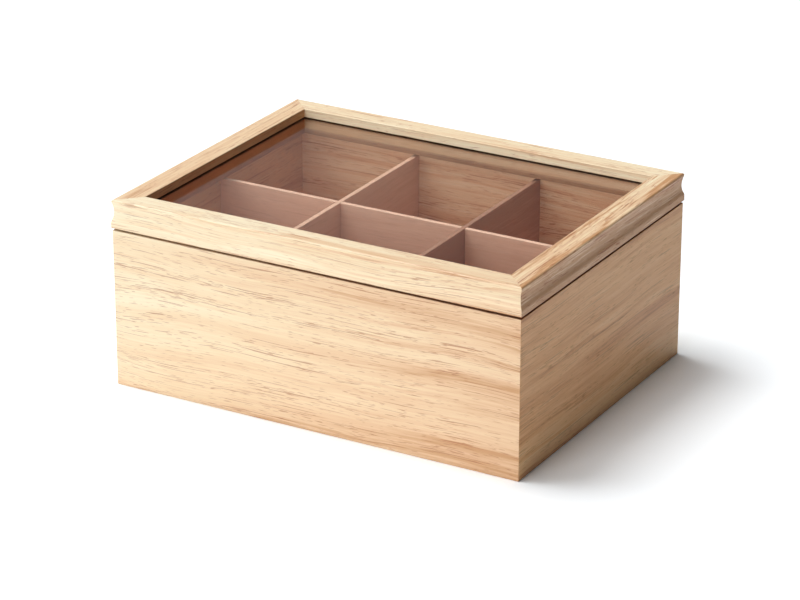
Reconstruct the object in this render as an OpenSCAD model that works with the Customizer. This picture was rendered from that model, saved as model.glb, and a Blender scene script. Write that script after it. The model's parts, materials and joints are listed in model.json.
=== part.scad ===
// Tea bag organizer box: six compartments under a hinged lid with a glass pane.
// Millimetres. X runs along the long front, Y to the back, Z up.
// The origin is the middle of the box's underside.

/* [Box] */
// Width of the box along its long front
box_w = 280; // [220:5:360]
// Depth of the box from front to back
box_d = 215; // [160:5:280]
// Height of the walls
wall_h = 102; // [70:1:140]
// Thickness of the walls
wall_t = 10; // [9:0.5:14]
// Radius on the outer edges of the walls and of the lid's lower edge
edge_r = 0.6; // [0.3:0.1:1.5]
// Radius on the inner edges of the rim and of the lid frame
inner_r = 0.4; // [0.2:0.1:0.8]

/* [Bottom] */
// Thickness of the bottom panel
bottom_t = 3; // [2:0.5:5]
// Height of the bottom panel above the table
bottom_rise = 3; // [2:0.5:8]
// Depth of the groove that holds the bottom panel
bottom_groove = 5; // [3:0.5:6]

/* [Dividers] */
// Thickness of the dividers
divider_t = 3; // [2:0.5:5]
// Drop of the dividers' top edges below the rim
divider_drop = 0.3; // [0.1:0.1:3]
// Depth of the wall grooves that the dividers' ends stand in
dado_depth = 2; // [1:0.5:3]

/* [Lid frame] */
// Height of the lid frame
lid_h = 18.2; // [16:0.2:24]
// Width of the lid frame's rails, seen from above
rail_w = 15; // [12:0.5:20]
// How far the lip along the lid's lower edge stands out past the walls
lip_out = 0.5; // [0.2:0.1:1]
// Height of the lip's upright face above the lid's underside
lip_rise = 3; // [2:0.2:4]
// Radius of the curve from the lip into the cove
lip_r = 6; // [3:0.5:9]
// How far the cove cuts in behind the walls' faces
cove_in = 1; // [0.6:0.1:2]
// Height of the cove's deepest line above the lid's underside
cove_rise = 10.4; // [9:0.2:11]
// Radius of the nose along the lid's top edge
nose_r = 1.2; // [0.6:0.1:2]
// How far the nose stands out past the walls
nose_out = 0.1; // [0:0.1:0.5]

/* [Glass] */
// Thickness of the glass pane
glass_t = 2; // [1.5:0.5:3]
// Height of the glass above the lid's underside
glass_rise = 9.7; // [6:0.1:10]
// Depth of the groove that holds the glass
glass_groove = 6; // [3:0.5:8]

/* [Hinges] */
// Distance from each end of the box to the middle of its hinge
hinge_inset = 55; // [40:1:80]
// Length of a hinge along its pin
hinge_len = 30; // [20:1:40]
// Width of a leaf on the rim, from the back face inwards
leaf_w = 8.5; // [6.5:0.5:9]
// Thickness of a leaf
leaf_t = 0.6; // [0.5:0.1:1]
// Radius of a leaf's free corners
leaf_corner = 1; // [0.5:0.1:2]
// Outer radius of the knuckles
knuckle_r = 1.6; // [1.4:0.1:2]
// Radius of the hinge pin
pin_r = 0.75; // [0.6:0.05:0.9]
// Radius of the pin's staked ends
pin_head_r = 1.2; // [1.1:0.1:1.3]
// Thickness of the pin's staked ends
pin_head_h = 0.5; // [0.3:0.1:1]
// Angle at which the stop lugs halt the lid
open_angle = 100; // [90:1:110]
// Height of a stop lug's face against the back wall
stop_h = 1.2; // [0.8:0.1:1.5]

/* [Screws] */
// Distance between the two screws of a leaf
screw_pitch = 18; // [12:1:24]
// Length of a screw with its head
screw_len = 8; // [6:0.5:8]
// Radius of a screw's shank
screw_r = 0.9; // [0.7:0.1:1.1]
// Radius of a screw's countersunk head
screw_head_r = 1.8; // [1.5:0.1:2]
// Height of a screw's countersunk head
screw_head_h = 0.9; // [0.7:0.1:1.2]
// Width of the slot in a screw's head
slot_w = 0.5; // [0.3:0.1:0.6]
// Depth of the slot in a screw's head
slot_deep = 0.4; // [0.2:0.1:0.5]

/* [Bumpers] */
// Diameter of the felt dots on the front rim
bumper_d = 6; // [4:0.5:8]
// Distance from each end of the box to the middle of its felt dot
bumper_inset = 14; // [12:1:40]

/* [Fits] */
// Room for the bottom panel in its groove, across its thickness
bottom_play = 0.2; // [0.1:0.1:0.5]
// Room for the bottom panel at each end of its groove
bottom_end_play = 0.5; // [0.2:0.1:1]
// Room beside each face of a divider in a groove or a slot
divider_play = 0.1; // [0.05:0.05:0.3]
// Room at each end of a divider in its wall groove
divider_end_play = 0.2; // [0.1:0.1:0.5]
// Room between the two halves of a crossing of dividers
lap_play = 0.3; // [0.1:0.1:1]
// Room above the glass in its groove
glass_play = 1; // [0.5:0.1:2]
// Room at each edge of the glass in its groove
glass_end_play = 1; // [0.5:0.1:2]
// Space between the two leaves of a closed hinge
leaf_play = 0.1; // [0.1:0.05:0.3]
// Running clearance of the pin in the knuckles
pin_play = 0.05; // [0.03:0.01:0.1]
// Space between neighbouring knuckles
knuckle_play = 0.3; // [0.2:0.1:0.5]
// Space between the knuckles and the lip on the lid's lower edge
barrel_play = 0.25; // [0.2:0.05:0.5]
// Space left between the stop lugs and the back wall at the open angle
stop_play = 0.05; // [0.03:0.01:0.1]
// Clearance round the screws
screw_play = 0.05; // [0.03:0.01:0.1]
// Space between the felt dots and the closed lid
bumper_play = 0.05; // [0.03:0.01:0.2]

/* [Hidden] */
$fn = 64;

// The four sides, counted from the front round to the right
FRONT = 0;
RIGHT = 1;
BACK = 2;
LEFT = 3;

// Columns of compartments in each of the two rows
COLUMNS = 3;
// Knuckles of a hinge; the even ones belong to the box leaf
KNUCKLES = 5;
// Overshoot of a cutting tool past the face that it cuts
CUT = 1;

inner_w = box_w - 2 * wall_t;
inner_d = box_d - 2 * wall_t;
bottom_top = bottom_rise + bottom_t;
column_pitch = (inner_w + divider_t) / COLUMNS;
divider_x = column_pitch / 2;
divider_z = bottom_top;
divider_h = wall_h - divider_drop - divider_z;
dado_w = divider_t + 2 * divider_play;
divider_reach = dado_depth - divider_end_play;

lid_gap = 2 * leaf_t + leaf_play;
lid_z = wall_h + lid_gap;
glass_z = lid_z + glass_rise;
glass_reach = glass_groove - glass_end_play;
nose_rise = lid_h - nose_r;

hinge_x = box_w / 2 - hinge_inset;
hinge_out = lip_out + barrel_play + knuckle_r;
hinge_y = box_d / 2 + hinge_out;
hinge_z = wall_h + lid_gap / 2;
knuckle_pitch = hinge_len / KNUCKLES;
knuckle_len = knuckle_pitch - knuckle_play;
screw_y = -hinge_out - leaf_w / 2;
leaf_face = leaf_play / 2;

wood = "#ecd0a4";
wood_side = "#dcb98c";
wood_inner = "#b08a72";
ply = "#b59273";
brass = "#c9a24e";
steel = "#b9bcc0";
felt = "#6b4a32";
clear = [0.85, 0.92, 0.92, 0.35];

// Points of a circular arc from angle a to angle b; first is 1 where it carries on from another arc's end
function arc(centre, r, a, b, steps = 8, first = 0) = [
    for (i = [first:steps]) centre + r * [cos(a + (b - a) * i / steps), sin(a + (b - a) * i / steps)]
];

function side_length(side) = side % 2 == 0 ? box_w : box_d;
function side_depth(side) = side % 2 == 0 ? box_d : box_w;

// Puts a piece that is drawn with its outer face on y = 0 on one side of the box
module on_side(side) {
    rotate([0, 0, 90 * side])
        translate([0, -side_depth(side) / 2, 0])
            children();
}

// A bar with a profile of depth from the outer face and height, its two ends cut at 45 degrees
module mitred_bar(length, width, height, out = 0) {
    intersection() {
        translate([-length / 2 - out, 0, 0])
            rotate([90, 0, 90])
                linear_extrude(length + 2 * out)
                    children();
        translate([0, 0, -CUT])
            linear_extrude(height + 2 * CUT)
                polygon([
                    [-length / 2 - out, -out], [length / 2 + out, -out],
                    [length / 2 - width, width], [-length / 2 + width, width]
                ]);
    }
}

// A block with the box's plan and rounded upright edges
module rounded_block(w, d, h, r) {
    linear_extrude(h) {
        square([w - 2 * r, d], center = true);
        square([w, d - 2 * r], center = true);
        for (x = [-1, 1], y = [-1, 1])
            translate([x * (w / 2 - r), y * (d / 2 - r)])
                circle(r);
    }
}

// Section of a wall: depth from the outer face, height above the table
module wall_section() {
    polygon(concat(
        arc([edge_r, edge_r], edge_r, 270, 180),
        arc([edge_r, wall_h - edge_r], edge_r, 180, 90),
        arc([wall_t - inner_r, wall_h - inner_r], inner_r, 90, 0),
        [
            [wall_t, bottom_top + bottom_play],
            [wall_t - bottom_groove, bottom_top + bottom_play],
            [wall_t - bottom_groove, bottom_rise],
            [wall_t, bottom_rise],
            [wall_t, 0]
        ]
    ));
}

// Groove for a divider's end in the inner face of a wall, at one place along the wall
module dado(along) {
    translate([along - dado_w / 2, wall_t - dado_depth, divider_z])
        cube([dado_w, dado_depth + CUT, wall_h - divider_z + CUT]);
}

module wall(side, dados) {
    intersection() {
        on_side(side)
            difference() {
                mitred_bar(side_length(side), wall_t, wall_h)
                    wall_section();
                for (along = dados)
                    dado(along);
            }
        rounded_block(box_w, box_d, wall_h, edge_r);
    }
}

module front_panel() {
    color(wood) wall(FRONT, [-divider_x, divider_x]);
}

module back_panel() {
    color(wood)
        difference() {
            wall(BACK, [-divider_x, divider_x]);
            at_hinge_screws(-1)
                screw_hole();
        }
}

module left_panel() {
    color(wood_side) wall(LEFT, [0]);
}

module right_panel() {
    color(wood_side) wall(RIGHT, [0]);
}

module bottom_panel() {
    reach = bottom_groove - bottom_end_play;
    color(ply)
        translate([-inner_w / 2 - reach, -inner_d / 2 - reach, bottom_rise])
            cube([inner_w + 2 * reach, inner_d + 2 * reach, bottom_t]);
}

// A divider along X between two walls that stand a clear span apart
module divider_board(span) {
    length = span + 2 * divider_reach;
    translate([-length / 2, -divider_t / 2, divider_z])
        cube([length, divider_t, divider_h]);
}

// Slot that a crossing divider fits, open at the top or at the bottom edge
module lap_slot(open_top) {
    low = open_top ? divider_h / 2 : -CUT;
    high = open_top ? divider_h + CUT : divider_h / 2 + lap_play;
    translate([-dado_w / 2, -divider_t, divider_z + low])
        cube([dado_w, 2 * divider_t, high - low]);
}

module long_divider() {
    color(wood_inner)
        difference() {
            divider_board(inner_w);
            for (x = [-divider_x, divider_x])
                translate([x, 0, 0])
                    lap_slot(true);
        }
}

module cross_divider(x) {
    color(wood_inner)
        translate([x, 0, 0])
            rotate([0, 0, 90])
                difference() {
                    divider_board(inner_d);
                    lap_slot(false);
                }
}

module cross_divider_left() {
    cross_divider(-divider_x);
}

module cross_divider_right() {
    cross_divider(divider_x);
}

// The cove's two halves meet at its deepest line, each an arc that runs on smoothly into a convex edge
// that stands out past the walls and whose centre lies a distance above or below that line.
// Radius of such a half, from that distance and from the edge's reach and radius
function cove_r(far, out, r) = (far * far + (out + cove_in) * (out + cove_in)) / (2 * (out + cove_in)) - r;

// Angle that such a half turns through
function cove_turn(far, out, r) = asin(far / (cove_r(far, out, r) + r));

// Section of a lid rail: depth from the walls' outer face, height above the lid's underside
module rail_section() {
    below = cove_rise - lip_rise;
    above = nose_rise - cove_rise;
    low_r = cove_r(below, lip_out, lip_r);
    high_r = cove_r(above, nose_out, nose_r);
    low_turn = cove_turn(below, lip_out, lip_r);
    high_turn = cove_turn(above, nose_out, nose_r);
    polygon(concat(
        arc([edge_r - lip_out, edge_r], edge_r, 270, 180),
        arc([lip_r - lip_out, lip_rise], lip_r, 180, 180 - low_turn),
        arc([cove_in - low_r, cove_rise], low_r, -low_turn, 0, first = 1),
        arc([cove_in - high_r, cove_rise], high_r, 0, high_turn, first = 1),
        arc([nose_r - nose_out, nose_rise], nose_r, 180 + high_turn, 90, first = 1),
        arc([rail_w - inner_r, lid_h - inner_r], inner_r, 90, 0),
        [
            [rail_w, glass_rise + glass_t + glass_play],
            [rail_w - glass_groove, glass_rise + glass_t + glass_play],
            [rail_w - glass_groove, glass_rise],
            [rail_w, glass_rise]
        ],
        arc([rail_w - inner_r, inner_r], inner_r, 0, -90)
    ));
}

module lid_rail(side) {
    translate([0, 0, lid_z])
        intersection() {
            on_side(side)
                mitred_bar(side_length(side), rail_w, lid_h, lip_out)
                    rail_section();
            rounded_block(box_w + 2 * lip_out, box_d + 2 * lip_out, lid_h, edge_r);
        }
}

module lid_rail_front() {
    color(wood) lid_rail(FRONT);
}

module lid_rail_back() {
    color(wood)
        difference() {
            lid_rail(BACK);
            at_hinge_screws(1)
                screw_hole();
        }
}

module lid_rail_left() {
    color(wood_side) lid_rail(LEFT);
}

module lid_rail_right() {
    color(wood_side) lid_rail(RIGHT);
}

module glass_pane() {
    w = box_w - 2 * rail_w + 2 * glass_reach;
    d = box_d - 2 * rail_w + 2 * glass_reach;
    color(clear)
        translate([-w / 2, -d / 2, glass_z])
            cube([w, d, glass_t]);
}

// Puts a piece that is drawn round the pin's axis on one hinge; hand is -1 for left and 1 for right
module at_hinge(hand) {
    translate([hand * hinge_x, hinge_y, hinge_z])
        children();
}

// Puts a screw, drawn head up with its top on z = 0, in each hole of the leaves on one level:
// -1 for the box's leaves, whose screws point down, and 1 for the lid's, whose screws point up
module at_hinge_screws(level) {
    for (hand = [-1, 1])
        at_hinge(hand)
            at_leaf_screws(level)
                children();
}

module at_leaf_screws(level) {
    for (x = [-screw_pitch / 2, screw_pitch / 2])
        translate([x, screw_y, level * leaf_face])
            mirror([0, 0, level > 0 ? 1 : 0])
                children();
}

module screw() {
    point_h = 2 * screw_r;
    difference() {
        union() {
            translate([0, 0, -screw_head_h])
                cylinder(h = screw_head_h, r1 = screw_r, r2 = screw_head_r);
            translate([0, 0, point_h - screw_len])
                cylinder(h = screw_len - point_h, r = screw_r);
            translate([0, 0, -screw_len])
                cylinder(h = point_h, r1 = 0, r2 = screw_r);
        }
        translate([-slot_w / 2, -screw_head_r - CUT, -slot_deep])
            cube([slot_w, 2 * (screw_head_r + CUT), slot_deep + CUT]);
    }
}

// Hole for a screw, with its countersink carried on past the leaf's face
module screw_hole() {
    flare = CUT * (screw_head_r - screw_r) / screw_head_h;
    translate([0, 0, -screw_head_h])
        cylinder(
            h = screw_head_h + CUT,
            r1 = screw_r + screw_play,
            r2 = screw_head_r + screw_play + flare
        );
    translate([0, 0, -screw_len - screw_play])
        cylinder(h = screw_len, r = screw_r + screw_play);
}

// One knuckle round the pin, with the strip that joins it to its leaf
module knuckle(i, level) {
    translate([i * knuckle_pitch - hinge_len / 2 + knuckle_play / 2, 0, 0]) {
        rotate([90, 0, 90])
            linear_extrude(knuckle_len) {
                circle(knuckle_r);
                if (level > 0)
                    stop_lug();
            }
        translate([0, -hinge_out - CUT, level > 0 ? leaf_face : -leaf_face - leaf_t])
            cube([knuckle_len, hinge_out + CUT, leaf_t]);
    }
}

// Lug on the lid's knuckles, in the closed lid's place: at the open angle its end meets the back wall
module stop_lug() {
    rotate(open_angle)
        translate([-hinge_out + stop_play, -stop_h])
            square([hinge_out - stop_play, stop_h]);
}

// A leaf with its knuckles: level -1 lies on the rim, level 1 under the lid
module leaf(level) {
    first = level > 0 ? 1 : 0;
    difference() {
        union() {
            translate([0, 0, level > 0 ? leaf_face : -leaf_face - leaf_t])
                linear_extrude(leaf_t)
                    leaf_plan();
            for (i = [first:2:KNUCKLES - 1])
                knuckle(i, level);
        }
        rotate([0, 90, 0])
            cylinder(h = hinge_len + 2 * CUT, r = pin_r + pin_play, center = true);
        at_leaf_screws(level)
            screw_hole();
    }
}

// Plan of a leaf's plate, square at the back face and round at its two free corners
module leaf_plan() {
    translate([-hinge_len / 2, -hinge_out - leaf_w + leaf_corner])
        square([hinge_len, leaf_w - leaf_corner]);
    translate([-hinge_len / 2 + leaf_corner, -hinge_out - leaf_w])
        square([hinge_len - 2 * leaf_corner, leaf_w]);
    for (x = [-1, 1])
        translate([x * (hinge_len / 2 - leaf_corner), -hinge_out - leaf_w + leaf_corner])
            circle(leaf_corner);
}

module hinge_pin() {
    half = hinge_len / 2 - knuckle_play / 2 + pin_play;
    rotate([0, 90, 0])
        cylinder(h = 2 * half, r = pin_r, center = true);
    for (end = [0, 1])
        mirror([end, 0, 0])
            translate([half, 0, 0])
                rotate([0, 90, 0])
                    cylinder(h = pin_head_h, r = pin_head_r);
}

module hinge_left_box_leaf() {
    color(brass) at_hinge(-1) leaf(-1);
}

module hinge_left_lid_leaf() {
    color(brass) at_hinge(-1) leaf(1);
}

module hinge_left_pin() {
    color(steel) at_hinge(-1) hinge_pin();
}

module hinge_right_box_leaf() {
    color(brass) at_hinge(1) leaf(-1);
}

module hinge_right_lid_leaf() {
    color(brass) at_hinge(1) leaf(1);
}

module hinge_right_pin() {
    color(steel) at_hinge(1) hinge_pin();
}

module box_hinge_screws() {
    color(brass) at_hinge_screws(-1) screw();
}

module lid_hinge_screws() {
    color(brass) at_hinge_screws(1) screw();
}

module rim_bumpers() {
    color(felt)
        for (x = [-1, 1])
            translate([x * (box_w / 2 - bumper_inset), -(box_d - wall_t) / 2, wall_h])
                cylinder(h = lid_gap - bumper_play, d = bumper_d);
}

front_panel();
back_panel();
left_panel();
right_panel();
bottom_panel();
long_divider();
cross_divider_left();
cross_divider_right();
lid_rail_front();
lid_rail_back();
lid_rail_left();
lid_rail_right();
glass_pane();
hinge_left_box_leaf();
hinge_left_lid_leaf();
hinge_left_pin();
hinge_right_box_leaf();
hinge_right_lid_leaf();
hinge_right_pin();
box_hinge_screws();
lid_hinge_screws();
rim_bumpers();
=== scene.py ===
"""Tea bag organizer box: six compartments under a hinged lid, a moulded frame round a glass pane.

Metres. X runs along the long front, Y to the back where the hinges are, Z up. The origin is the middle
of the box's underside. A length written in millimetres goes through mm(), and the woods' pattern is worked
out in millimetres.
"""

import json
import math

import bmesh
import bpy
from mathutils import Matrix, Vector


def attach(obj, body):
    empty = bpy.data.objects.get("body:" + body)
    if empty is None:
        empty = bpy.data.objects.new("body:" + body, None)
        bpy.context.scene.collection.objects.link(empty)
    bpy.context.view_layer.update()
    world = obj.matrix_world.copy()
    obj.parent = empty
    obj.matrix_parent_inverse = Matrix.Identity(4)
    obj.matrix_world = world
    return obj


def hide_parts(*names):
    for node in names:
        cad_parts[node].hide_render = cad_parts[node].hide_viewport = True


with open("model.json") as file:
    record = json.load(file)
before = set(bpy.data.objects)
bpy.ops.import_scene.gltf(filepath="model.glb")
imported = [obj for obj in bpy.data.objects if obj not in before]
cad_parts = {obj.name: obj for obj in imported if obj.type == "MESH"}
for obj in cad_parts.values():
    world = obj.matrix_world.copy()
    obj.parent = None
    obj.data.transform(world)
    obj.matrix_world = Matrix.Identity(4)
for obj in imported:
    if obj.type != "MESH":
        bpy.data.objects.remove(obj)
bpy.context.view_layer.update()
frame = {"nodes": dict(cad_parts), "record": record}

scene = bpy.context.scene


def mm(length):
    """A length in millimetres, in metres."""
    return length / 1000


def in_mm(length):
    """A length in metres, in millimetres."""
    return length * 1000


def span(name):
    """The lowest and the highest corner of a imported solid."""
    corners = [vertex.co for vertex in frame["nodes"][name].data.vertices]
    return [Vector([pick(corner[axis] for corner in corners) for axis in range(3)]) for pick in (min, max)]


# Sizes of the box's pieces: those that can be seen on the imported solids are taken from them

front_low, front_high = span("front_panel")
back_low, back_high = span("back_panel")
right_low, right_high = span("right_panel")
rail_low, rail_high = span("lid_rail_front")
side_rail_low = span("lid_rail_right")[0]
glass_low = span("glass_pane")[0]
pin_low, pin_high = span("hinge_right_pin")
screws_low, screws_high = span("box_hinge_screws")
dots_low, dots_high = span("rim_bumpers")

BOX_W, BOX_D = 2 * right_high.x, back_high.y - front_low.y
RIM_Z = front_high.z

# A lid rail: its edges, the lip low on its outer face, the cove above it and the nose at the top

LID_Z, LID_H = rail_low.z, rail_high.z - rail_low.z
RAIL_W = rail_high.y - front_low.y
EDGE_R, INNER_R = mm(0.6), mm(0.4)
LIP_OUT, LIP_RISE, LIP_R = front_low.y - rail_low.y, mm(3), mm(6)
COVE_IN, COVE_RISE = mm(1), mm(10.4)
NOSE_OUT, NOSE_R = mm(0.1), mm(1.2)
GROOVE_RISE, GROOVE_H, GROOVE_D = glass_low.z - rail_low.z, mm(3), mm(6)

# Hinges and their screws: a head's face lies LEAF_FACE from the hinge's axis

HINGE_X, HINGE_Z = (pin_low.x + pin_high.x) / 2, (pin_low.z + pin_high.z) / 2
LEAF_FACE = mm(0.05)
SCREW_L, SHANK_R = mm(8), mm(0.9)
HEAD_R, HEAD_H = mm(1.8), mm(0.9)
SLOT_W, SLOT_D = mm(0.5), mm(0.4)
SCREW_Y = (screws_low.y + screws_high.y) / 2
SCREW_PITCH = 2 * (screws_high.x - HEAD_R - HINGE_X)

# Felt dots on the front rim

DOT_R, DOT_H = mm(3), mm(1.2)
DOT_X, DOT_Y = dots_high.x - DOT_R, (dots_low.y + dots_high.y) / 2
DOT_FIBRES = 140.0


# Camera: found from the photograph's edges

CAMERA_PLACE = Vector((0.9354, -1.6392, 0.8328))
CAMERA_AZIMUTH = math.radians(29.725)
CAMERA_DROP = math.radians(22.623)
CAMERA_ROLL = math.radians(0.071)
CAMERA_LENS = 148.61


def aim_camera():
    """A camera at the photograph's place, looking down on the box from the front right."""
    ahead = Vector((
        -math.sin(CAMERA_AZIMUTH) * math.cos(CAMERA_DROP),
        math.cos(CAMERA_AZIMUTH) * math.cos(CAMERA_DROP),
        -math.sin(CAMERA_DROP),
    ))
    level_right = ahead.cross(Vector((0, 0, 1))).normalized()
    level_up = level_right.cross(ahead)
    right = level_right * math.cos(CAMERA_ROLL) + level_up * math.sin(CAMERA_ROLL)
    up = level_up * math.cos(CAMERA_ROLL) - level_right * math.sin(CAMERA_ROLL)
    camera = bpy.data.objects.new("camera", bpy.data.cameras.new("camera"))
    camera.data.lens = CAMERA_LENS
    camera.data.clip_end = 20
    camera.matrix_world = Matrix.Translation(CAMERA_PLACE) @ Matrix((right, up, -ahead)).transposed().to_4x4()
    scene.collection.objects.link(camera)
    scene.camera = camera


# Node trees

class Wire:
    """An output socket that Python's operators can work on: each operator adds a Math node."""

    def __init__(self, graph, socket):
        self.graph = graph
        self.socket = socket

    def math(self, operation, *others):
        return self.graph.add("ShaderNodeMath", {"operation": operation}, dict(enumerate((self, *others))))

    def __add__(self, other):
        return self.math("ADD", other)

    def __sub__(self, other):
        return self.math("SUBTRACT", other)

    def __mul__(self, other):
        return self.math("MULTIPLY", other)

    def __truediv__(self, other):
        return self.math("DIVIDE", other)

    def __rsub__(self, other):
        return self.graph.number("SUBTRACT", other, self)

    def __rtruediv__(self, other):
        return self.graph.number("DIVIDE", other, self)

    def __neg__(self):
        return self * -1

    def __abs__(self):
        return self.math("ABSOLUTE")

    __radd__ = __add__
    __rmul__ = __mul__

    def clamp(self):
        return self.graph.add("ShaderNodeClamp", {}, {"Value": self})

    def step(self, low, high, to_low=0, to_high=1):
        """0 below low and 1 above high, with a smooth change between them."""
        return self.graph.add(
            "ShaderNodeMapRange", {"interpolation_type": "SMOOTHSTEP"},
            {"Value": self, "From Min": low, "From Max": high, "To Min": to_low, "To Max": to_high},
        )

    def within(self, low, high, soft):
        """1 between low and high and 0 outside, with a smooth change a little to either side of both."""
        return self.step(low - soft, low + soft) * self.step(high + soft, high - soft)


class Graph:
    """A node tree of a material, the world or a geometry modifier."""

    def __init__(self, tree):
        self.tree = tree
        self.nodes = tree.nodes

    def add(self, kind, settings, values, out=0):
        """Adds a node: its settings first, then values or wires for its sockets. Gives one output."""
        node = self.nodes.new(kind)
        for name, value in settings.items():
            setattr(node, name, value)
        for key, value in values.items():
            socket = node.inputs[key]
            for item in value if isinstance(value, list) else [value]:
                if isinstance(item, Wire):
                    self.tree.links.new(item.socket, socket)
                else:
                    socket.default_value = item
        return Wire(self, node.outputs[out]) if len(node.outputs) else None

    def number(self, operation, *values):
        return self.add("ShaderNodeMath", {"operation": operation}, dict(enumerate(values)))

    def mix(self, share, first, second, blend="MIX"):
        """Colour first where share is 0 and second where it is 1."""
        return self.add(
            "ShaderNodeMix", {"data_type": "RGBA", "blend_type": blend},
            {"Factor": share, 6: first, 7: second}, out=2,
        )

    def noise(self, place, scale, detail=2, roughness=0.5, distortion=0):
        return self.add(
            "ShaderNodeTexNoise", {"noise_dimensions": "3D"},
            {"Vector": place, "Scale": scale, "Detail": detail, "Roughness": roughness,
             "Distortion": distortion},
        )

    def vector(self, x, y, z):
        return self.add("ShaderNodeCombineXYZ", {}, {"X": x, "Y": y, "Z": z})

    def split(self, vector):
        return [self.add("ShaderNodeSeparateXYZ", {}, {"Vector": vector}, out=axis) for axis in "XYZ"]


def material(name, build):
    """A material whose surface is what build(graph) gives."""
    made = bpy.data.materials.new(name)
    made.use_nodes = True
    made.node_tree.nodes.clear()
    graph = Graph(made.node_tree)
    graph.add("ShaderNodeOutputMaterial", {}, {"Surface": build(graph)})
    return made


def geometry_tree(name, inputs):
    """A tree for a Geometry Nodes modifier: its graph, and a wire for each named input."""
    tree = bpy.data.node_groups.new(name, "GeometryNodeTree")
    for label, kind in {"Geometry": "Geometry", **inputs}.items():
        tree.interface.new_socket(label, in_out="INPUT", socket_type="NodeSocket" + kind)
    tree.interface.new_socket("Geometry", in_out="OUTPUT", socket_type="NodeSocketGeometry")
    graph = Graph(tree)
    given = tree.nodes.new("NodeGroupInput")
    return graph, {label: Wire(graph, given.outputs[label]) for label in ("Geometry", *inputs)}


def end_tree(graph, geometry, look):
    """Ends a tree with the geometry as one real mesh of one material."""
    real = graph.add("GeometryNodeRealizeInstances", {}, {"Geometry": geometry})
    dressed = graph.add("GeometryNodeSetMaterial", {}, {"Geometry": real, "Material": look})
    graph.add("NodeGroupOutput", {}, {"Geometry": dressed})
    return graph.tree


def grow(tree, name, base, values):
    """The plain mesh that a tree makes from a base mesh and the values of its named inputs."""
    seed = bpy.data.objects.new(name, base)
    scene.collection.objects.link(seed)
    modifier = seed.modifiers.new(name, "NODES")
    modifier.node_group = tree
    for item in tree.interface.items_tree:
        if item.in_out == "INPUT" and item.name in values:
            modifier[item.identifier] = values[item.name]
    grown = seed.evaluated_get(bpy.context.evaluated_depsgraph_get())
    mesh = bpy.data.meshes.new_from_object(grown)
    mesh.name = name
    bpy.data.objects.remove(seed)
    return mesh


def rgb(red, green, blue):
    """A colour as a screen shows it, from 0 to 255, in the linear values that a shader takes."""
    def linear(value):
        share = value / 255
        return share / 12.92 if share <= 0.04045 else ((share + 0.055) / 1.055) ** 2.4

    return (linear(red), linear(green), linear(blue), 1)


# Wood: growth rings cut along the grain, fibres, and short dark pores that crowd in each ring's first wood

class Tones:
    """The colours of one kind of board, from its palest wood to its darkest, and of its pores."""

    def __init__(self, cream, honey, rose, brown, pore):
        self.stops = (cream, honey, rose, brown)
        self.pore = pore


OUTER = Tones(
    rgb(254, 240, 208), rgb(248, 224, 187), rgb(237, 201, 162), rgb(207, 157, 112), rgb(158, 72, 26),
)
SIDE = Tones(
    rgb(244, 202, 148), rgb(234, 181, 124), rgb(217, 156, 101), rgb(180, 120, 70), rgb(118, 68, 34),
)
BOARD = Tones(
    rgb(238, 193, 169), rgb(228, 180, 154), rgb(212, 163, 136), rgb(166, 117, 94), rgb(120, 76, 56),
)

# What a spot's colour is multiplied by: a tint and painted shade on the inner faces, and painted shade under
# the glass, in the glass's groove, in the gap between lid and box, on the dividers' top edges and on the
# rails' noses

# tint of the inner wall faces: partly the bare wood's colour, partly painted shade of the dim compartments
INNER_WALL_TINT_AND_SHADE = (0.88, 0.71, 0.66, 1)
# the left wall's inner face points away from the lamps: tint and painted shade, darker than the other walls
LEFT_INNER_TINT_AND_SHADE = (0.62, 0.4, 0.26, 1)
# painted shade on the rails' inner faces below the glass, where little light reaches
UNDER_GLASS_SHADE = (0.34, 0.18, 0.12, 1)
# painted shade on the left rail's inner face, which points away from the lamps
LEFT_RAIL_SHADE = (0.9, 0.64, 0.42, 1)
# painted shade in the gap between lid and box
GAP_SHADE = (0.4, 0.27, 0.2, 1)
# painted shade on the dividers' top edges, which face the light from above
DIVIDER_TOP_SHADE = (0.88, 0.86, 0.84, 1)
# painted shade on the rails' noses, toning down the highlight they catch
NOSE_SHADE = (0.88, 0.86, 0.83, 1)
# painted shade in the glass's groove, which no light reaches
GROOVE_SHADE = (0.18, 0.08, 0.035, 1)

# Places on the wood in millimetres: the inner faces, then heights

INNER_Y, INNER_X = in_mm(back_low.y), in_mm(right_low.x)
SIGHT_Y, SIGHT_X = in_mm(-rail_high.y), in_mm(side_rail_low.x)
WALL_MIDDLE, RAIL_MIDDLE = 50, 112
RIM = in_mm(RIM_Z)
LID_UNDERSIDE = in_mm(LID_Z)
GROOVE_LOW, GROOVE_TOP = in_mm(glass_low.z), in_mm(glass_low.z + GROOVE_H)
RAIL_TOP = in_mm(rail_high.z)
DIVIDER_TOP = in_mm(span("long_divider")[1].z)

# Figure of the wood in millimetres: how long a spot of it is along the grain and how high across it

RING = 11
BAND, FIBRE, CLEARNESS = (300, 15), (55, 1.3), (210, RING)
CROWD, SHORT_PORE, LONG_PORE = (75, 6), (7, 0.5), (50, 0.65)
WANDER_LENGTH, WANDER_HEIGHT, WANDER = 170, 70, 16


def ramp(graph, share, colours):
    """Evenly spaced colours, from the first where share is 0 to the last where it is 1."""
    steps = len(colours) - 1
    colour = colours[0]
    for i in range(steps):
        colour = graph.mix((share * steps - i).clamp(), colour, colours[i + 1])
    return colour


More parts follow.
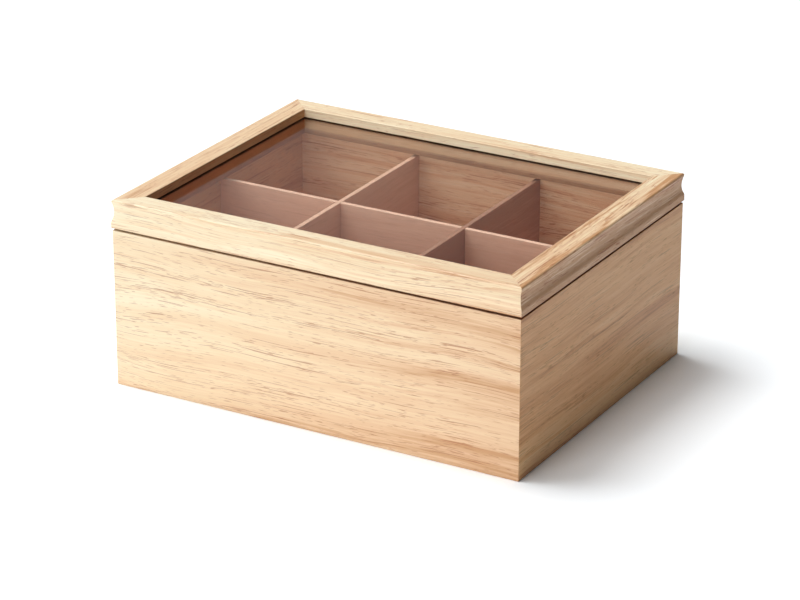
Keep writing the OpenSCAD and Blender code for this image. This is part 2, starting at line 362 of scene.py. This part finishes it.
def wood(name, tones, grain, shift, level=0.4, drift=(0, 0), pores=0.75, figure=1, streaks=(), face=None,
         tints_and_shades=(), moulded=False, shaded_top=False):
    """Clear-lacquered wood whose grain runs along X or Y.

    shift: where the board is cut from
    level: its tone at its middle, from 0 for the palest to 1 for the darkest
    drift: how much that changes per metre along the board and up it, partly the wood's own tone and partly
    painted shade: darker to the right, away from the lamps, and lower down
    pores: how dark its pores are
    figure: how strong its bands, rings and fibres are
    streaks: each one's height at the board's middle, how much lower it lies at the two ends, half its
        width, all in millimetres, and how much it adds to the tone
    face: the place of the board's inner face in millimetres
    tints_and_shades: the height up to which that face is multiplied by a colour, and the colour: a tint of
    the bare inner wood, and painted shade where the face lies in shadow
    moulded: true for a lid rail, with painted shade in its groove for the glass, which no light reaches, and
    painted shade on its nose that tones down its highlight
    shaded_top: true for a divider, whose top edge gets painted shade against the light from above
    """
    def build(graph):
        place = graph.add("ShaderNodeTexCoord", {}, {}, out="Object")
        x, y, z = [axis * 1000 for axis in graph.split(place)]
        along, through = (x, y) if grain == "X" else (y, x)
        bend = graph.vector(along / WANDER_LENGTH + shift, z / WANDER_HEIGHT, through / WANDER_HEIGHT)
        wander = graph.noise(bend, 1, 1) - 0.5
        up = z + wander * WANDER
        deep = through + wander * (WANDER / 2)

        def drawn_out(size, seed, detail=0, roughness=0.5):
            """Noise between about -0.5 and 0.5 that follows the grain."""
            length, height = size
            spot = graph.vector(along / length + shift + seed, up / height, deep / height)
            return graph.noise(spot, 1, detail, roughness) - 0.5

        band = drawn_out(BAND, 4.9, 4, 0.62)
        fibre = drawn_out(FIBRE, 9.4, 3, 0.7)
        ring = (up / RING + deep / (RING * 2.2) + band * 2.4 + shift).math("FRACT")
        late_wood = ring.step(0.45, 0.94) * ring.step(1.0, 0.96)
        clear = drawn_out(CLEARNESS, 3.1).step(-0.04, 0.2)
        tone = level + (band * 1.1 + fibre * 1.2 + late_wood * (clear * 0.34 + 0.04)) * figure
        middle = RAIL_MIDDLE if moulded else WALL_MIDDLE
        # drift: partly painted shade, the board darkening to the right and lower down
        tone = tone + along * (drift[0] / 1000) + (z - middle) * (drift[1] / 1000)
        for height, lower, half, strength in streaks:
            bow = along * along * (lower / in_mm(BOX_W / 2) ** 2)
            off = abs(up + bow + fibre * 6 - height) / half
            tone = tone + (1 - off.step(0.1, 1)) * strength
        colour = ramp(graph, tone, tones.stops)

        crowd = drawn_out(CROWD, 17.9).step(-0.15, 0.3) * 0.12 + (0.5 - ring) * 0.05 + 0.03
        short = (drawn_out(SHORT_PORE, 23.5) + crowd).step(0.25, 0.33)
        long = (drawn_out(LONG_PORE, 31.7) + crowd * 0.7 + fibre * 0.25).step(0.26, 0.3)
        colour = graph.mix((short * 0.75 + long * 0.85).clamp() * pores, colour, tones.pore)

        if face:
            inward = through * math.copysign(1, -face) + abs(face)
            # the inner face's tint, and painted shade where the face lies in shadow
            for top, tint_and_shade in tints_and_shades:
                tinted_and_shaded = inward.step(-0.5, 0.1) * z.step(top, top - 0.5)
                colour = graph.mix(tinted_and_shaded, colour, tint_and_shade, "MULTIPLY")
        if moulded:
            # painted shade in the glass's groove
            groove = (-inward).within(0.3, in_mm(GROOVE_D) + 0.3, 0.2)
            groove = groove * z.within(GROOVE_LOW - 0.2, GROOVE_TOP + 0.2, 0.1)
            colour = graph.mix(groove, colour, GROOVE_SHADE)
            # painted shade on the nose, toning down its highlight
            nose = z.step(RAIL_TOP - 1.3, RAIL_TOP - 0.8) * z.step(RAIL_TOP, RAIL_TOP - 0.1)
            colour = graph.mix(nose, colour, NOSE_SHADE, "MULTIPLY")
        # painted shade in the gap between lid and box, stronger to the right, where less light reaches
        meeting = z.within(RIM - 0.15, LID_UNDERSIDE + 0.35, 0.1) * (x * 0.0022 + 0.7).clamp()
        colour = graph.mix(meeting, colour, GAP_SHADE, "MULTIPLY")
        if shaded_top:
            # painted shade on the divider's top edge
            edge = z.step(DIVIDER_TOP - 0.3, DIVIDER_TOP - 0.05)
            colour = graph.mix(edge, colour, DIVIDER_TOP_SHADE, "MULTIPLY")

        gloss = 0.44 + fibre * 0.15 + short * 0.2
        bump = graph.add(
            "ShaderNodeBump", {},
            {"Strength": 0.3, "Distance": mm(0.06), "Height": fibre - short * 0.8 - long * 0.5}, out="Normal",
        )
        return graph.add(
            "ShaderNodeBsdfPrincipled", {},
            {"Base Color": colour, "Roughness": gloss, "Normal": bump, "IOR": 1.5,
             "Coat Weight": 0.15, "Coat Roughness": 0.25},
        )

    return material(name, build)


def pane_glass():
    """Clear glass that lets the lamps' light through to the wood below."""
    def build(graph):
        glass = graph.add(
            "ShaderNodeBsdfPrincipled", {},
            {"Base Color": (0.97, 0.99, 0.985, 1), "Roughness": 0.0, "IOR": 1.5, "Transmission Weight": 1.0},
        )
        clear = graph.add("ShaderNodeBsdfTransparent", {}, {"Color": (0.93, 0.95, 0.94, 1)})
        shadow = graph.add("ShaderNodeLightPath", {}, {}, out="Is Shadow Ray")
        return graph.add("ShaderNodeMixShader", {}, {0: shadow, 1: glass, 2: clear})

    return material("pane_glass", build)


def metal(name, bright, worn, rough):
    """Satin metal with fine brush marks along X and slight blotches, from one colour to another."""
    def build(graph):
        place = graph.add("ShaderNodeTexCoord", {}, {}, out="Object")
        x, y, z = graph.split(place)
        brushed = graph.noise(graph.vector(x * 90, y * 2500, z * 2500), 1, 2)
        blotch = graph.noise(place, 160, 3)
        colour = graph.mix(blotch.step(0.4, 0.7), bright, worn)
        gloss = rough + brushed * 0.12 + blotch * 0.08
        bump = graph.add(
            "ShaderNodeBump", {}, {"Strength": 0.15, "Distance": mm(0.02), "Height": brushed}, out="Normal",
        )
        return graph.add(
            "ShaderNodeBsdfPrincipled", {},
            {"Base Color": colour, "Roughness": gloss, "Normal": bump, "Metallic": 1.0},
        )

    return material(name, build)


def felt():
    """Pressed brown felt with lighter fibres."""
    def build(graph):
        place = graph.add("ShaderNodeTexCoord", {}, {}, out="Object")
        tangle = graph.noise(place, 2600, 3, 0.7, 1.5)
        colour = graph.mix(tangle.step(0.35, 0.7), rgb(88, 60, 41), rgb(140, 104, 76))
        bump = graph.add(
            "ShaderNodeBump", {}, {"Strength": 0.7, "Distance": mm(0.1), "Height": tangle}, out="Normal",
        )
        return graph.add(
            "ShaderNodeBsdfPrincipled", {},
            {"Base Color": colour, "Roughness": 0.95, "Normal": bump, "Sheen Weight": 0.4},
        )

    return material("felt", build)


# Stage: a pale floor that keeps the shadow, white surroundings and soft lamps

def lay_floor():
    """A wide pale floor, which the camera sees a little brighter than the box's own light does."""
    half = 6
    corners = [(-half, -half, 0), (half, -half, 0), (half, half, 0), (-half, half, 0)]
    mesh = bpy.data.meshes.new("floor")
    mesh.from_pydata(corners, [], [(0, 1, 2, 3)])

    def build(graph):
        seen = graph.add("ShaderNodeLightPath", {}, {}, out="Is Camera Ray")
        colour = graph.mix(seen, (0.92, 0.92, 0.92, 1), (1.11, 1.15, 1.18, 1))
        return graph.add("ShaderNodeBsdfDiffuse", {}, {"Color": colour})

    mesh.materials.append(material("floor", build))
    floor = bpy.data.objects.new("floor", mesh)
    scene.collection.objects.link(floor)


# Strength of the surroundings: as plain light, and in reflections on the right, on the left and overhead

AMBIENT = 0.04
GLOSS_DARK, GLOSS_LIGHT, GLOSS_HIGH = 0.06, 0.26, 0.6


def light_surroundings():
    """White behind the object and through glass; in reflections a dim room, paler on the left and overhead.

    A ray that has passed through the glass and climbs is a reflection off the pane's lower face.
    """
    world = bpy.data.worlds.new("studio")
    scene.world = world
    world.use_nodes = True
    world.node_tree.nodes.clear()
    graph = Graph(world.node_tree)
    ray = {kind: graph.add("ShaderNodeLightPath", {}, {}, out=kind)
           for kind in ("Is Camera Ray", "Is Glossy Ray", "Is Transmission Ray")}
    place = graph.add("ShaderNodeTexCoord", {}, {}, out="Generated")
    side, _, height = graph.split(place)
    straight = (ray["Is Camera Ray"] + ray["Is Transmission Ray"] * height.step(0.2, 0.12)).clamp()
    level = side.step(-0.38, -0.56, GLOSS_DARK, GLOSS_LIGHT)
    reflected = level + height.step(0.78, 0.98) * (GLOSS_HIGH - level)
    bounced = (ray["Is Glossy Ray"] + ray["Is Transmission Ray"]).clamp()
    dim = bounced * (reflected - AMBIENT) + AMBIENT
    strength = straight + (1 - straight) * dim
    backdrop = graph.add("ShaderNodeBackground", {}, {"Color": (1, 1, 1, 1), "Strength": strength})
    graph.add("ShaderNodeOutputWorld", {}, {"Surface": backdrop})


LAMP_DISTANCE = 6


def softbox(name, towards, spread, brightness):
    """A square lamp far off in one direction. brightness is what it gives a white surface that faces it."""
    direction = Vector(towards).normalized()
    lamp = bpy.data.lights.new(name, "AREA")
    lamp.shape = "SQUARE"
    lamp.size = 2 * LAMP_DISTANCE * math.tan(math.radians(spread / 2))
    lamp.energy = brightness * (math.pi * LAMP_DISTANCE) ** 2
    holder = bpy.data.objects.new(name, lamp)
    holder.location = direction * LAMP_DISTANCE
    holder.rotation_euler = (-direction).to_track_quat("-Z", "Y").to_euler()
    holder.visible_transmission = False
    scene.collection.objects.link(holder)


# Looks of the boards

def wall_looks():
    return {
        # the front's drift darkens it to the right and towards its foot: partly its own tone, partly painted
        # shade
        "front_panel": wood(
            "front_wood", OUTER, "X", 4.0, 0.44, drift=(1.9, -2.0), pores=0.58, figure=0.6,
            streaks=((94, 3, 14, 0.26), (52, -3, 5, 0.12), (5, 2, 15, 0.14), (66, 5, 8, -0.16)),
            face=-INNER_Y, tints_and_shades=[(RIM + 1, INNER_WALL_TINT_AND_SHADE)],
        ),
        "back_panel": wood("back_wood", OUTER, "X", 41.0, face=INNER_Y, tints_and_shades=[(RIM + 1, INNER_WALL_TINT_AND_SHADE)]),
        "left_panel": wood(
            "left_wood", OUTER, "Y", 13.0, 0.55, figure=0.8, face=-INNER_X, tints_and_shades=[(RIM + 1, LEFT_INNER_TINT_AND_SHADE)],
        ),
        "right_panel": wood(
            "right_wood", SIDE, "Y", 22.0, 0.4, pores=0.4, figure=0.8,
            streaks=((42, -6, 9, 0.15), (8, -4, 16, -0.25)),
            face=INNER_X, tints_and_shades=[(RIM + 1, INNER_WALL_TINT_AND_SHADE)],
        ),
    }


def thin_looks():
    def divider(name, grain, shift, level):
        return wood(name, BOARD, grain, shift, level, pores=0.2, figure=0.4, shaded_top=True)

    return {
        "bottom_panel": wood("bottom_ply", BOARD, "X", 55.0, pores=0.3),
        # the long divider gets the palest tone and the right cross divider the darkest: painted light on the
        # long divider's faces that catch the lamps, painted shade on the right cross divider, whose visible
        # face points away from them
        "long_divider": divider("long_divider_wood", "X", 61.0, 0.1),
        "cross_divider_left": divider("cross_left_wood", "Y", 67.0, 0.4),
        "cross_divider_right": divider("cross_right_wood", "Y", 73.0, 1.0),
    }


def rail_looks():
    """The rails' woods, in the order of the quarter turns from the front."""
    shade_below_glass = (GROOVE_LOW + 0.5, UNDER_GLASS_SHADE)
    return {
        # the front and right rails' drift: painted shade, darker lower on their faces; the front rail also
        # darker to the right, partly its own tone
        "lid_rail_front": wood(
            "front_rail_wood", OUTER, "X", 83.0, 0.322, drift=(1.9, -9), pores=0.5,
            streaks=((110, 0, 7, -0.18),), face=-SIGHT_Y, tints_and_shades=[shade_below_glass], moulded=True,
        ),
        "lid_rail_right": wood(
            "right_rail_wood", OUTER, "Y", 101.0, 0.85, drift=(0, -15), figure=2,
            face=SIGHT_X, tints_and_shades=[shade_below_glass], moulded=True,
        ),
        "lid_rail_back": wood(
            "back_rail_wood", OUTER, "X", 89.0, 0.27, pores=0.5,
            face=SIGHT_Y, tints_and_shades=[shade_below_glass], moulded=True,
        ),
        "lid_rail_left": wood(
            "left_rail_wood", OUTER, "Y", 97.0, 0.58, pores=0.5,
            face=-SIGHT_X, tints_and_shades=[shade_below_glass, (RAIL_TOP - 0.2, LEFT_RAIL_SHADE)], moulded=True,
        ),
    }


# Making the pieces

def stand_in(piece, name, look):
    """The finished piece takes the place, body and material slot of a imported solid."""
    scene.collection.objects.link(piece)
    piece.data.materials.clear()
    piece.data.materials.append(look)
    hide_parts(name)
    body = next(body for body, members in frame["record"]["behaviour"]["bodies"].items() if name in members)
    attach(piece, body)


def finish_edges(piece, width, sharp=40, steps=2):
    """Takes off the sharp edges of a piece and shades it as flat faces with soft edges."""
    piece.data.polygons.foreach_set("use_smooth", [True] * len(piece.data.polygons))
    if width:
        bevel = piece.modifiers.new("soft_edges", "BEVEL")
        bevel.width = width
        bevel.segments = steps
        bevel.limit_method = "ANGLE"
        bevel.angle_limit = math.radians(sharp)
    piece.data.set_sharp_from_angle(angle=math.radians(sharp if not width else 179))
    normals = piece.modifiers.new("flat_faces", "WEIGHTED_NORMAL")
    normals.keep_sharp = True


def softened(name, width, sharp=40):
    """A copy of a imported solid, its triangles joined to whole faces and its edges taken off."""
    shape = bmesh.new()
    shape.from_mesh(frame["nodes"][name].data)
    bmesh.ops.remove_doubles(shape, verts=shape.verts, dist=mm(0.002))
    bmesh.ops.dissolve_limit(
        shape, angle_limit=math.radians(1), verts=shape.verts, edges=shape.edges, delimit={"NORMAL"},
    )
    mesh = bpy.data.meshes.new(name + "_finished")
    shape.to_mesh(mesh)
    shape.free()
    if mesh.attributes.get("custom_normal"):
        mesh.attributes.remove(mesh.attributes["custom_normal"])
    piece = bpy.data.objects.new(name + "_finished", mesh)
    finish_edges(piece, width, sharp)
    return piece


def arc(centre, radius, start, end, steps=10, first=0):
    """Points of an arc from one angle to another, in radians; first is 1 where it carries on from another."""
    angles = [start + (end - start) * i / steps for i in range(first, steps + 1)]
    return [(centre[0] + radius * math.cos(angle), centre[1] + radius * math.sin(angle)) for angle in angles]


def half_cove(far, out, radius):
    """Radius and turn of the cove's half that runs on into a convex edge a distance above or below."""
    deep = out + COVE_IN
    both = (far ** 2 + deep ** 2) / (2 * deep)
    return both - radius, math.asin(far / both)


def rail_section():
    """Outline of a lid rail: depth from the walls' outer face, height above the lid's underside."""
    nose_rise = LID_H - NOSE_R
    low_r, low_turn = half_cove(COVE_RISE - LIP_RISE, LIP_OUT, LIP_R)
    high_r, high_turn = half_cove(nose_rise - COVE_RISE, NOSE_OUT, NOSE_R)
    quarter = math.pi / 2
    groove_end = RAIL_W - GROOVE_D
    groove_top = GROOVE_RISE + GROOVE_H
    return [
        *arc((EDGE_R - LIP_OUT, EDGE_R), EDGE_R, 3 * quarter, 2 * quarter),
        *arc((LIP_R - LIP_OUT, LIP_RISE), LIP_R, 2 * quarter, 2 * quarter - low_turn),
        *arc((COVE_IN - low_r, COVE_RISE), low_r, -low_turn, 0, 16, first=1),
        *arc((COVE_IN - high_r, COVE_RISE), high_r, 0, high_turn, 16, first=1),
        *arc((NOSE_R - NOSE_OUT, nose_rise), NOSE_R, 2 * quarter + high_turn, quarter, 14, first=1),
        *arc((RAIL_W - INNER_R, LID_H - INNER_R), INNER_R, quarter, 0),
        (RAIL_W, groove_top), (groove_end, groove_top),
        (groove_end, GROOVE_RISE), (RAIL_W, GROOVE_RISE),
        *arc((RAIL_W - INNER_R, INNER_R), INNER_R, 0, -quarter),
    ]


def rail_tree():
    """Sweeps a section along a rail, each point drawn in by its own depth, so that the ends are mitred."""
    graph, given = geometry_tree(
        "moulded_rail", {"Length": "Float", "Place": "Vector", "Turn": "Float", "Wood": "Material"},
    )
    half = given["Length"] / 2
    section = graph.add("GeometryNodeMeshToCurve", {}, {"Mesh": given["Geometry"]})
    path = graph.add(
        "GeometryNodeCurvePrimitiveLine", {},
        {"Start": graph.vector(0, 0, -half), "End": graph.vector(0, 0, half)},
    )
    bar = graph.add(
        "GeometryNodeCurveToMesh", {}, {"Curve": path, "Profile Curve": section, "Fill Caps": True},
    )
    depth, height, along = graph.split(graph.add("GeometryNodeInputPosition", {}, {}))
    mitred = graph.add(
        "GeometryNodeSetPosition", {},
        {"Geometry": bar, "Position": graph.vector(depth, height, along * (1 - depth / half))},
    )
    outward = graph.add("GeometryNodeFlipFaces", {}, {"Mesh": mitred})
    placed = graph.add(
        "GeometryNodeTransform", {},
        {"Geometry": outward, "Translation": given["Place"],
         "Rotation": graph.vector(math.pi / 2, 0, given["Turn"] + math.pi / 2)},
    )
    return end_tree(graph, placed, given["Wood"])


def make_rail(tree, name, quarter, look):
    """One rail of the lid frame, on the side that lies a number of quarter turns right from the front."""
    length, across = (BOX_W, BOX_D) if quarter % 2 == 0 else (BOX_D, BOX_W)
    turn = quarter * math.pi / 2
    outline = rail_section()
    section = bpy.data.meshes.new("rail_section")
    count = len(outline)
    section.from_pydata([(x, y, 0) for x, y in outline], [(i, (i + 1) % count) for i in range(count)], [])
    place = (math.sin(turn) * across / 2, -math.cos(turn) * across / 2, LID_Z)
    sizes = {"Length": length, "Place": place, "Turn": turn, "Wood": look}
    mesh = grow(tree, name + "_moulding", section, sizes)
    piece = bpy.data.objects.new(mesh.name, mesh)
    finish_edges(piece, mm(0.15))
    stand_in(piece, name, look)


def pair(graph, spacing):
    """Two points a spacing apart along X, on either side of the middle."""
    start, offset = graph.vector(spacing / -2, 0, 0), graph.vector(spacing, 0, 0)
    return graph.add("GeometryNodeMeshLine", {}, {"Count": 2, "Start Location": start, "Offset": offset})


def screw_tree():
    """Slotted countersunk screws with a thread, two in each of two leaves, each slot turned its own way."""
    graph, given = geometry_tree("slotted_screws", {
        "Hinge Spacing": "Float", "Screw Pitch": "Float", "Place": "Vector", "Turn": "Float",
        "Length": "Float", "Head Radius": "Float", "Head Height": "Float", "Shank Radius": "Float",
        "Slot Width": "Float", "Slot Depth": "Float", "Metal": "Material",
    })
    length, shank = given["Length"], given["Shank Radius"]
    head_r, head_h = given["Head Radius"], given["Head Height"]
    core = shank * 0.72
    tip = shank * 2
    plain_end = mm(0.8)

    def moved(geometry, z):
        return graph.add(
            "GeometryNodeTransform", {}, {"Geometry": geometry, "Translation": graph.vector(0, 0, z)},
        )

    def cone(low, high, depth, z):
        made = graph.add(
            "GeometryNodeMeshCone", {},
            {"Vertices": 32, "Radius Bottom": low, "Radius Top": high, "Depth": depth},
        )
        return moved(made, z)

    head = cone(shank, head_r, head_h, -head_h)
    slot_size = graph.vector(given["Slot Width"], head_r * 3, given["Slot Depth"] * 2)
    slot = graph.add("GeometryNodeMeshCube", {}, {"Size": slot_size})
    cut = graph.add(
        "GeometryNodeMeshBoolean", {"operation": "DIFFERENCE", "solver": "EXACT"},
        {"Mesh 1": head, "Mesh 2": slot},
    )
    body = cone(core, core, length - tip - head_h, tip - length)
    point = cone(0, core, tip, -length)
    spiral = graph.add(
        "GeometryNodeCurveSpiral", {},
        {"Resolution": 20, "Rotations": 7.0, "Start Radius": core * 0.5, "End Radius": core,
         "Height": length - head_h - 2 * plain_end},
    )
    ridge = graph.add("GeometryNodeCurvePrimitiveCircle", {}, {"Resolution": 3, "Radius": shank - core})
    thread = graph.add(
        "GeometryNodeCurveToMesh", {}, {"Curve": spiral, "Profile Curve": ridge, "Fill Caps": True},
    )
    parts = [cut, body, point, moved(thread, plain_end - length)]
    screw = graph.add("GeometryNodeJoinGeometry", {}, {"Geometry": parts})

    hinges, leaf_holes = pair(graph, given["Hinge Spacing"]), pair(graph, given["Screw Pitch"])
    holes = graph.add("GeometryNodeInstanceOnPoints", {}, {"Points": hinges, "Instance": leaf_holes})
    holes = graph.add("GeometryNodeRealizeInstances", {}, {"Geometry": holes})
    order = graph.add("GeometryNodeInputIndex", {}, {})
    screws = graph.add(
        "GeometryNodeInstanceOnPoints", {},
        {"Points": holes, "Instance": screw, "Rotation": graph.vector(0, 0, order * 2.3 + 0.4)},
    )
    placed = graph.add(
        "GeometryNodeTransform", {},
        {"Geometry": screws, "Translation": given["Place"], "Rotation": graph.vector(given["Turn"], 0, 0)},
    )
    return end_tree(graph, placed, given["Metal"])


def make_screws(tree, name, level, look):
    """The four screws of one body: level -1 for the box's, which point down, and 1 for the lid's."""
    mesh = grow(tree, name + "_slotted", bpy.data.meshes.new("none"), {
        "Hinge Spacing": 2 * HINGE_X, "Screw Pitch": SCREW_PITCH,
        "Place": (0, SCREW_Y, HINGE_Z + level * LEAF_FACE), "Turn": math.pi if level > 0 else 0.0,
        "Length": SCREW_L, "Head Radius": HEAD_R, "Head Height": HEAD_H, "Shank Radius": SHANK_R,
        "Slot Width": SLOT_W, "Slot Depth": SLOT_D, "Metal": look,
    })
    piece = bpy.data.objects.new(mesh.name, mesh)
    finish_edges(piece, 0, 35)
    stand_in(piece, name, look)


def felt_tree():
    """Two felt dots with worn round edges, a lumpy top and loose fibres lying on it."""
    graph, given = geometry_tree("felt_dots", {
        "Spacing": "Float", "Place": "Vector", "Radius": "Float", "Height": "Float", "Fibres": "Float",
        "Felt": "Material",
    })
    radius, height = given["Radius"], given["Height"]
    position = graph.add("GeometryNodeInputPosition", {}, {})
    x, y, z = graph.split(position)
    pad = graph.add(
        "GeometryNodeMeshCylinder", {"fill_type": "TRIANGLE_FAN"},
        {"Vertices": 48, "Side Segments": 6, "Fill Segments": 8, "Radius": radius, "Depth": height},
    )
    rise = z / height + 0.5
    drawn = 1 - 0.1 * rise.step(0.55, 1.0)
    lumps = (graph.noise(position, 1400, 2) - 0.8) * rise.step(0.9, 1.0) * mm(0.18)
    pad = graph.add(
        "GeometryNodeSetPosition", {},
        {"Geometry": pad, "Position": graph.vector(x * drawn, y * drawn, z + height / 2 + lumps)},
    )
    on_top = graph.number("GREATER_THAN", z, height * 0.7)
    density = given["Fibres"] / (radius * radius * math.pi)
    spots = graph.add(
        "GeometryNodeDistributePointsOnFaces", {},
        {"Mesh": pad, "Selection": on_top, "Density": density, "Seed": 5},
    )
    hair = graph.add(
        "GeometryNodeCurvePrimitiveBezierSegment", {},
        {"Resolution": 5, "Start": (0, 0, 0), "Start Handle": (mm(0.2), mm(0.1), mm(0.06)),
         "End Handle": (mm(0.4), mm(0.3), mm(0.06)), "End": (mm(0.5), mm(0.5), 0)},
    )
    round_hair = graph.add("GeometryNodeCurvePrimitiveCircle", {}, {"Resolution": 3, "Radius": mm(0.018)})
    fibre = graph.add(
        "GeometryNodeCurveToMesh", {}, {"Curve": hair, "Profile Curve": round_hair, "Fill Caps": True},
    )
    order = graph.add("GeometryNodeInputIndex", {}, {})
    fibres = graph.add(
        "GeometryNodeInstanceOnPoints", {},
        {"Points": spots, "Instance": fibre, "Rotation": graph.vector(0, 0, order * 2.4)},
    )
    dot = graph.add("GeometryNodeJoinGeometry", {}, {"Geometry": [pad, fibres]})
    dots = graph.add(
        "GeometryNodeInstanceOnPoints", {}, {"Points": pair(graph, given["Spacing"]), "Instance": dot},
    )
    placed = graph.add("GeometryNodeTransform", {}, {"Geometry": dots, "Translation": given["Place"]})
    return end_tree(graph, placed, given["Felt"])


def make_dots(name, look):
    mesh = grow(felt_tree(), name + "_felt", bpy.data.meshes.new("none"), {
        "Spacing": 2 * DOT_X, "Place": (0, DOT_Y, RIM_Z), "Radius": DOT_R, "Height": DOT_H,
        "Fibres": DOT_FIBRES, "Felt": look,
    })
    piece = bpy.data.objects.new(mesh.name, mesh)
    finish_edges(piece, 0, 50)
    stand_in(piece, name, look)


def make_box():
    for name, look in wall_looks().items():
        stand_in(softened(name, mm(0.15)), name, look)
    thin = thin_looks()
    for name in ("long_divider", "cross_divider_left", "cross_divider_right"):
        stand_in(softened(name, mm(0.3)), name, thin[name])
    stand_in(softened("bottom_panel", mm(0.1)), "bottom_panel", thin["bottom_panel"])


def make_lid():
    tree = rail_tree()
    for quarter, (name, look) in enumerate(rail_looks().items()):
        make_rail(tree, name, quarter, look)
    stand_in(softened("glass_pane", mm(0.3)), "glass_pane", pane_glass())


def make_hinges():
    brass = metal("hinge_brass", rgb(222, 186, 112), rgb(196, 158, 88), 0.28)
    steel = metal("pin_steel", rgb(205, 205, 207), rgb(176, 177, 180), 0.22)
    for hand in ("left", "right"):
        for leaf in ("box_leaf", "lid_leaf"):
            stand_in(softened(f"hinge_{hand}_{leaf}", mm(0.08)), f"hinge_{hand}_{leaf}", brass)
        stand_in(softened(f"hinge_{hand}_pin", mm(0.15)), f"hinge_{hand}_pin", steel)
    tree = screw_tree()
    make_screws(tree, "box_hinge_screws", -1, brass)
    make_screws(tree, "lid_hinge_screws", 1, brass)


aim_camera()
lay_floor()
light_surroundings()
softbox("top_softbox", (-0.27, -0.02, 1.0), 38, 0.6)
softbox("key_softbox", (-0.48, -0.06, 1.0), 28, 0.5)
softbox("front_softbox", (-0.12, -0.95, 0.22), 30, 0.5)
make_box()
make_lid()
make_hinges()
make_dots("rim_bumpers", felt())

scene.view_settings.view_transform = "Standard"
